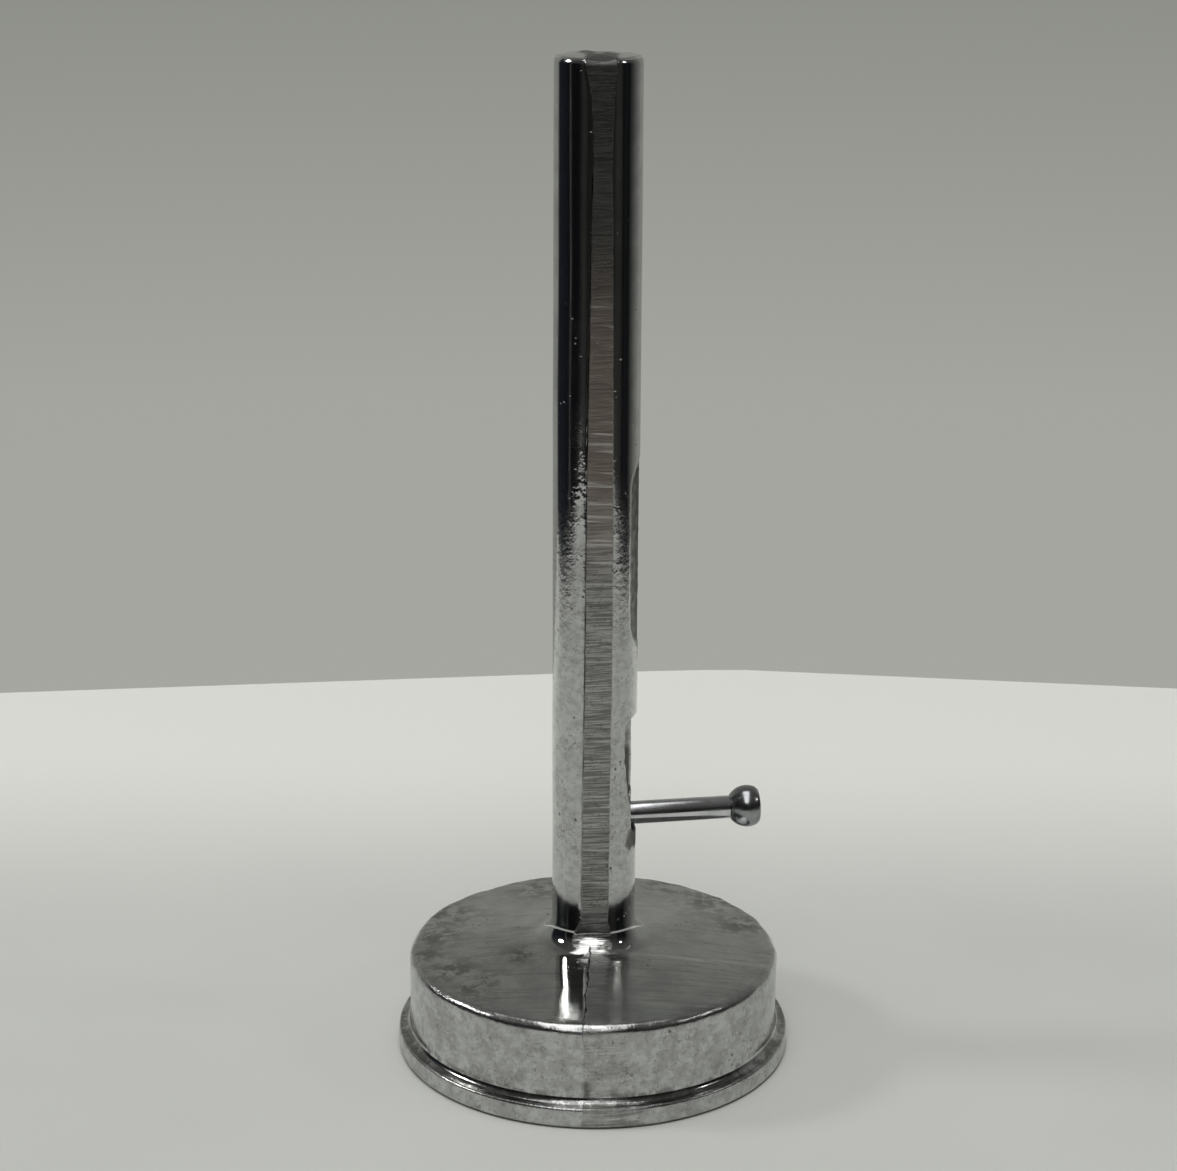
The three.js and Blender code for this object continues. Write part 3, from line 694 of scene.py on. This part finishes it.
def faced_metal():
    """The disc's face: rings left by the facing tool, worn smooth, with scratches and food stains."""
    look = Finish("faced_aluminium")
    flat = look.stretched((1, 1, 0))
    radius = look.add("ShaderNodeVectorMath", {0: flat}, operation="LENGTH").outputs["Value"]
    drift = look.times(look.noise(300, 2), 0.0004)
    rings = look.maths("SINE", look.times(look.plus(radius, drift), 2 * math.pi / RING_PITCH))
    cloud = look.noise(95, 5, 0.65)
    scratches = look.noise((1900, 60, 60), 2, 0.5, turn=(0, 0, 0.6))
    colour = look.mixed(look.span(cloud, 0.38, 0.66), (0.66, 0.665, 0.655), (0.43, 0.43, 0.415))
    rough = look.plus(look.span(cloud, 0.3, 0.7, 0.22, 0.4), look.span(scratches, 0.5, 0.8, 0, 0.1))
    return look.metal(colour, rough, look.relief((rings, 0.000012), (scratches, 0.00003),
                                                 (look.noise(700, 3), 0.00003)))


hole = SCREW_RADIUS + SCREW_GAP
disc_loop = eased([(FACE_START, DISC_FOOT), (DISC_RADIUS, DISC_FOOT), (DISC_RADIUS, DISC_TOP),
                   (hole, DISC_TOP), (hole, DISC_FOOT + SCREW_HEAD_DEPTH),
                   (SCREW_HEAD_RADIUS + SCREW_GAP, DISC_FOOT), (FACE_START, DISC_FOOT)], 0.35)
new_piece("ejector_disc_turned", *turned_mesh(disc_loop, 180, closed=True), "plunger", "ejector_disc",
          "turned_aluminium", faced_metal())

# ---- Disc screw ----------------------
# A countersunk steel screw with a straight driver slot. It holds the disc on the rod's foot.

SCREW_TOP = 12.6
DRIVER_HALF_WIDTH, DRIVER_DEPTH = 0.45, 0.8


def screw_mesh():
    """The screw's head is a grid of lines across the driver slot: each line of points runs over the head's
    circle, and lines inside the slot lie the slot's depth higher up, into the head. A second, smaller grid
    closes the cone's top. The shank is turned."""
    half = DRIVER_HALF_WIDTH
    lines = np.array([-1, -0.92, -0.75, -0.5, -0.25]) * SCREW_HEAD_RADIUS
    y = np.concatenate([lines, [-half - 0.06, -half, -half], np.linspace(-half, half, 4)[1:-1],
                        [half, half, half + 0.06], -lines[::-1]])[:, None]
    deep = np.concatenate([np.zeros(6), [0.06], np.full(4, DRIVER_DEPTH), [0.06], np.zeros(6)])[:, None]
    along = np.sin(np.linspace(-math.pi / 2, math.pi / 2, 25))
    x = along * np.sqrt(np.maximum(SCREW_HEAD_RADIUS**2 - y**2, 0.05))
    face = np.stack([x, y + 0 * x, DISC_FOOT + deep + 0 * x], axis=-1)
    flare = 1 - SCREW_HEAD_DEPTH / SCREW_HEAD_RADIUS
    top = face * [flare, flare, 0] + [0, 0, DISC_FOOT + SCREW_HEAD_DEPTH]
    numbers = np.arange(x.size).reshape(x.shape)
    under = grid_faces(numbers, flip=True)
    rim = np.concatenate([numbers[0, :], numbers[1:, -1], numbers[-1, -2::-1], numbers[-2:0:-1, 0]])
    side = grid_faces(np.stack([rim, rim + x.size]), True)
    shank = eased([(0, DISC_FOOT + 1), (SCREW_RADIUS, DISC_FOOT + 1), (SCREW_RADIUS, SCREW_TOP),
                   (0, SCREW_TOP)], 0.3)
    shank_points, shank_faces = turned_mesh(shank, 48)
    return (np.concatenate([face.reshape(-1, 3), top.reshape(-1, 3), shank_points]),
            np.concatenate([under, side, under[:, ::-1] + x.size]).tolist()
            + [tuple(np.array(corners) + 2 * x.size) for corners in shank_faces])


def plated_steel(name, colour, dulled, roughness):
    """Bright plated steel: a little cloudy, with fine handling scratches."""
    look = Finish(name)
    cloud = look.noise(420, 4, 0.6)
    scratches = look.noise((300, 2600, 2600), 2, 0.6, turn=(0.2, 0.3, 0.5))
    rough = look.plus(look.span(cloud, 0.3, 0.7, roughness, roughness + 0.12),
                      look.span(scratches, 0.55, 0.8, 0, 0.06))
    return look.metal(look.mixed(look.span(cloud, 0.4, 0.68), colour, dulled), rough,
                      look.relief((cloud, 0.00002), (scratches, 0.000008)))


new_piece("disc_screw_plated", *screw_mesh(), "plunger", "disc_screw", "plated_steel",
          plated_steel("screw_plating", (0.5, 0.5, 0.5), (0.34, 0.34, 0.335), 0.2), crease=30)

# ---- Spring washer -------------------
# A punched steel washer on top of the rod, which spreads the spring's cut end over the soft aluminium.

WASHER_FOOT, WASHER_TOP = 66.05, 66.85
WASHER_RADIUS, WASHER_HOLE = 5.1, 2.2

washer_loop = eased([(3.6, WASHER_FOOT), (WASHER_RADIUS, WASHER_FOOT), (WASHER_RADIUS, WASHER_TOP),
                     (WASHER_HOLE, WASHER_TOP), (WASHER_HOLE, WASHER_FOOT), (3.6, WASHER_FOOT)], 0.15)
new_piece("spring_washer_punched", *turned_mesh(washer_loop, 72, closed=True), "plunger", "spring_washer",
          "washer_steel", plated_steel("washer_zinc", (0.58, 0.585, 0.59), (0.42, 0.42, 0.41), 0.28))

# ---- Return spring -------------------
# A hard drawn steel compression spring with closed ends. It fills the bore from the washer to the bore's end.
# The real spring shortens as the plunger draws back; this one is made at its rest length.

SPRING_FOOT, SPRING_TOP = 66.95, 149.9
WIRE_RADIUS, COIL_RADIUS, TURNS = 0.45, 4.4, 20


def spring_mesh(steps_per_turn=40, sides=10):
    """A round wire carried along a helix. The first and last turns rise by one wire, and the rest share what
    is left. A point at angle a round the wire lies at the radius COIL + r cos(a) and the height z + r sin(a),
    and both cut ends are capped."""
    turn = np.linspace(0, TURNS, TURNS * steps_per_turn + 1)[:, None]
    closed_rise = 2 * WIRE_RADIUS + 0.1
    low, high = SPRING_FOOT + WIRE_RADIUS, SPRING_TOP - WIRE_RADIUS
    z = np.interp(turn, [0, 1, TURNS - 1, TURNS], [low, low + closed_rise, high - closed_rise, high])
    around = np.linspace(0, 2 * np.pi, sides, endpoint=False)
    points = round_z(COIL_RADIUS + WIRE_RADIUS * np.cos(around), 2 * np.pi * turn,
                     z + WIRE_RADIUS * np.sin(around))
    numbers = np.arange(len(turn) * sides).reshape(-1, sides)
    caps = [tuple(numbers[0]), tuple(numbers[-1][::-1])]
    return points.reshape(-1, 3), grid_faces(numbers, True, flip=True).tolist() + caps


def drawn_wire():
    """Oiled drawn wire: dark steel with fine streaks and brown where the oil has dried."""
    look = Finish("drawn_wire")
    cloud = look.noise(500, 4, 0.6)
    colour = look.mixed(look.span(cloud, 0.4, 0.7), (0.42, 0.42, 0.425), (0.24, 0.21, 0.18))
    rough = look.span(cloud, 0.3, 0.7, 0.25, 0.45)
    return look.metal(colour, rough, look.relief((look.noise(2500, 2), 0.00001)))


spring = new_piece("return_spring_coil", *spring_mesh(), "body", "return_spring", "spring_steel", drawn_wire())
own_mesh(spring)

# ---- Lever pin -----------------------
# A pin of bright drawn steel that screws into the rod and stands out through the slot. Its outer end is
# turned down to a spigot for the ball.

PIN_RADIUS = 2.05
PIN_START = -2.2
BALL_NECK = 24.76
SPIGOT_RADIUS, SPIGOT_END = 1.3, 28.26


def along_lever(points):
    """Points made round Z, laid along the lever. Z becomes the lever's direction, LEVER_TURN about Z from
    +X."""
    x, y, z = np.asarray(points, float).T
    cos, sin = math.cos(LEVER_TURN), math.sin(LEVER_TURN)
    return np.stack([cos * z - sin * y, sin * z + cos * y, LEVER_HEIGHT - x], axis=1)


def drawn_steel():
    """Bright drawn bar: streaks along its length and light rub marks."""
    look = Finish("drawn_steel")
    streaks = look.noise((90, 2400, 2400), 2, 0.5, turn=(0, 0, -LEVER_TURN))
    cloud = look.noise(260, 4, 0.6)
    colour = look.mixed(look.span(cloud, 0.4, 0.7), (0.74, 0.75, 0.76), (0.58, 0.59, 0.60))
    rough = look.plus(look.span(cloud, 0.3, 0.7, 0.12, 0.22), look.span(streaks, 0.45, 0.75, 0, 0.06))
    return look.metal(colour, rough, look.relief((cloud, 0.00002), (streaks, 0.000012)))


pin_profile = eased([(0, PIN_START), (PIN_RADIUS, PIN_START), (PIN_RADIUS, BALL_NECK - 0.1),
                     (SPIGOT_RADIUS, BALL_NECK - 0.1), (SPIGOT_RADIUS, SPIGOT_END), (0, SPIGOT_END)], 0.25)
pin_points, pin_faces = turned_mesh(pin_profile, 72)
new_piece("lever_pin_drawn", along_lever(pin_points), pin_faces, "plunger", "lever_pin", "drawn_steel",
          drawn_steel())

# ---- Lever knob ----------------------
# A small steel ball with a flat end, dark bright plating, pressed on the pin's spigot for the thumb.

BALL_RADIUS, BALL_CENTRE, BALL_FLAT = 3.75, 27.9, 2.0
SOCKET_RADIUS, SOCKET_END = 1.45, 28.41

neck_angle = math.degrees(math.asin(PIN_RADIUS / BALL_RADIUS)) - 90
flat_angle = math.degrees(math.asin(BALL_FLAT / BALL_RADIUS))
knob_profile = np.concatenate([
    [(0, SOCKET_END), (SOCKET_RADIUS, SOCKET_END), (SOCKET_RADIUS, BALL_NECK + 0.05), (1.7, BALL_NECK - 0.02)],
    arc(0, BALL_CENTRE, BALL_RADIUS, neck_angle, flat_angle - 9, 26),
    arc(0, BALL_CENTRE, BALL_RADIUS - 0.05, flat_angle - 4, flat_angle - 1, 2) + [[-0.06, -0.02]],
    [(2.6, BALL_CENTRE + BALL_FLAT - 0.01), (1.4, BALL_CENTRE + BALL_FLAT), (0, BALL_CENTRE + BALL_FLAT)]])
knob_points, knob_faces = turned_mesh(knob_profile, 96)
new_piece("lever_knob_plated", along_lever(knob_points), knob_faces, "plunger", "lever_knob", "plated_steel",
          plated_steel("knob_plating", (0.38, 0.39, 0.395), (0.26, 0.265, 0.27), 0.17), crease=50)

# ---- Table ---------------------------
# A plain pale board to stand the mould on. It ends a little way behind the mould and an arm's length in
# front. Its outer parts are a second board of the same paint that the metal doesn't mirror.

BOARD_FRONT, BOARD_SIDE = -330, 290
APRON_FRONT, APRON_SIDE = -700, 1100
TABLE_SINK = 0.02


def back_edge(x):
    """The table's slightly bowed back edge."""
    return np.interp(x, [-1100, -150, 0, 35, 150, 1100], [120, 186, 205, 208, 195, 110])


def sheet(left, right, columns, front, back, rows):
    """A flat grid from left to right. Its points are evenly spaced from the front edge to the back edge."""
    x, share = np.linspace(left, right, columns), np.linspace(0, 1, rows)[:, None]
    y = part_way(front, back_edge(x) if back is None else back, share) + 0 * x
    points = np.stack([x + 0 * y, y, 0 * y - TABLE_SINK], axis=-1)
    return points.reshape(-1, 3) / 1000, grid_faces(np.arange(y.size).reshape(y.shape))


def table_paint_and_light():
    """Pale matt paint with faint clouds, and painted light that makes it much paler towards the back."""
    look = Finish("table_paint_and_light")
    y = look.add("ShaderNodeSeparateXYZ", {0: look.place}).outputs["Y"]
    near = look.mixed(look.span(look.noise(9, 3), 0.3, 0.7), (0.60, 0.61, 0.59), (0.635, 0.645, 0.62))
    # Painted light: the paint turns much paler towards the back, standing in for more light falling there.
    colour = look.mixed(look.span(y, 0.04, 0.15), near, (0.86, 0.87, 0.83))
    look.feed(look.shader.inputs, {"Base Color": colour, "Roughness": 0.6})
    return look.material


board_paint_and_light = table_paint_and_light()
for name, parts in (("table", [sheet(-BOARD_SIDE, BOARD_SIDE, 61, BOARD_FRONT, None, 21)]),
                    ("table_apron", [sheet(-APRON_SIDE, -BOARD_SIDE, 21, APRON_FRONT, None, 2),
                                     sheet(BOARD_SIDE, APRON_SIDE, 21, APRON_FRONT, None, 2),
                                     sheet(-BOARD_SIDE, BOARD_SIDE, 21, APRON_FRONT, BOARD_FRONT, 2)])):
    flat = bpy.data.meshes.new(name)
    flat_faces, start = [], 0
    for part_points, part_faces in parts:
        flat_faces += (part_faces + start).tolist()
        start += len(part_points)
    flat.from_pydata(np.concatenate([part_points for part_points, _ in parts]).tolist(), [], flat_faces)
    flat.materials.append(board_paint_and_light)
    board = placed(name, flat)
    board.visible_glossy = name == "table"

# ---- Room ----------------------------
# The metal mirrors the room, so the room is painted on the sky: a grey wall behind, a dark room in front with
# a few paler upright strips, and a dim ceiling with one long skylight.


def room():
    """The sky's colour by direction. The walls are a ramp by the angle round from the front, mixed with the
    ceiling by height. The skylight is added where x / z and -y / z, the place on the ceiling, fall inside its
    edges. What the camera sees straight is a plain wall, a ramp by height."""
    world = bpy.data.worlds.new("room")
    world.use_nodes = True
    sky = Nodes(world.node_tree)

    def ramp(value, stops):
        node = sky.add("ShaderNodeValToRGB", {0: value})
        elements = node.color_ramp.elements
        while len(elements) < len(stops):
            elements.new(0.5)
        for element, (place, colour) in zip(elements, stops):
            element.position = place
            element.color = (*colour, 1)
        return node.outputs[0]

    def within(value, low, high, edge):
        """1 between low and high, and 0 outside, with soft edges."""
        return sky.times(sky.span(value, low - edge, low + edge, smooth=False),
                         sky.span(value, high + edge, high - edge, smooth=False))

    place = sky.add("ShaderNodeTexCoord").outputs["Generated"]
    direction = sky.add("ShaderNodeSeparateXYZ", {0: place}).outputs
    forward = sky.times(direction["Y"], -1.0)
    around = sky.maths("ARCTAN2", direction["X"], forward)
    wall, dark = (0.30, 0.304, 0.283), (0.006, 0.006, 0.007)
    walls = ramp(sky.span(around, -math.pi, math.pi, smooth=False), [
        ((degrees + 180) / 360, colour) for degrees, colour in (
            (-180, wall), (-126, wall), (-119, (0.015, 0.017, 0.023)), (-92, (0.012, 0.013, 0.018)),
            (-77, dark), (-74, (0.09, 0.09, 0.092)), (-71, dark), (-48, dark), (-35, (0.034, 0.034, 0.032)),
            (-24, (0.012, 0.012, 0.011)), (10, (0.02, 0.02, 0.018)), (38, (0.014, 0.014, 0.013)),
            (50, (0.032, 0.032, 0.03)), (62, (0.028, 0.028, 0.026)), (68, dark), (78, (0.012, 0.013, 0.014)),
            (88, dark), (97, (0.05, 0.052, 0.05)), (135, wall), (180, wall))])
    height = sky.span(direction["Z"], 0.3, 0.95, smooth=False)
    inside = sky.mixed(height, walls, (0.09, 0.09, 0.086))

    above = sky.most(direction["Z"], 0.02)
    crossing = within(sky.maths("DIVIDE", direction["X"], above), -0.3, 0.19, 0.03)
    reaching = within(sky.maths("DIVIDE", forward, above), -0.33, 1.45, 0.06)
    inside = sky.mixed(1.0, inside, sky.times(crossing, reaching, 1.9), blend="ADD")

    seen = ramp(sky.span(direction["Z"], -0.35, 0.0, smooth=False), [
        (0, (0.375, 0.385, 0.352)), (0.35, (0.37, 0.378, 0.345)), (0.75, (0.275, 0.28, 0.256)),
        (1, (0.24, 0.245, 0.223))])
    shown = sky.mixed(sky.add("ShaderNodeLightPath").outputs["Is Camera Ray"], inside, seen)
    sky.feed(sky.tree.nodes["Background"].inputs, {"Color": shown})
    return world


bpy.context.scene.world = room()

# ---- Lamps ---------------------------
# One broad ceiling panel for the soft light, and small lamps that give the bright spots on the rounded edges.


def lamp(name, direction, distance, size, watts, mirrored=True):
    """A round lamp at a distance in a direction from the mould, facing it."""
    light = bpy.data.lights.new(name, "AREA")
    light.shape, light.size, light.energy = "DISK", size, watts
    light.color = (1.0, 0.995, 0.965)
    holder = placed(name, light)
    aim = np.array(direction, float)
    aim /= np.linalg.norm(aim)
    side = np.cross([0, 0, 1.0], aim)
    side /= np.linalg.norm(side)
    turn = Matrix(np.stack([side, np.cross(aim, side), aim], axis=1).tolist()).to_4x4()
    holder.matrix_world = Matrix.Translation((aim * distance).tolist()) @ turn
    holder.visible_glossy = mirrored


lamp("ceiling_panel", (0.05, -0.1, 1), 1.8, 1.45, 11.2, mirrored=False)
lamp("left_lamp", (-0.80, 0.05, 0.60), 1.5, 0.3, 4)
lamp("right_lamp", (0.77, -0.14, 0.62), 1.6, 0.14, 0.9)

# ---- Camera --------------------------
# It stands in front of the mould at a little above arm's height, looks down on it, and is rolled by a hair.

CAMERA_PLACE = (0, -0.4516, 0.2257)
CAMERA_LENS, SENSOR = 83.13, 36

down, side, roll = math.radians(17.142), math.radians(-0.155), math.radians(-0.321)
forward = np.array([math.sin(side) * math.cos(down), math.cos(side) * math.cos(down), -math.sin(down)])
level = np.array([math.cos(side), -math.sin(side), 0])
upward = np.cross(level, forward)
across = math.cos(roll) * level - math.sin(roll) * upward
over = math.sin(roll) * level + math.cos(roll) * upward
camera_data = bpy.data.cameras.new("camera")
camera_data.lens, camera_data.sensor_width = CAMERA_LENS, SENSOR
camera_data.clip_start = 0.01
camera = placed("camera", camera_data)
camera.matrix_world = Matrix.Translation(CAMERA_PLACE) @ Matrix(
    np.stack([across, over, -forward], axis=1).tolist()).to_4x4()
bpy.context.scene.camera = camera
bpy.context.scene.view_settings.view_transform = "Standard"
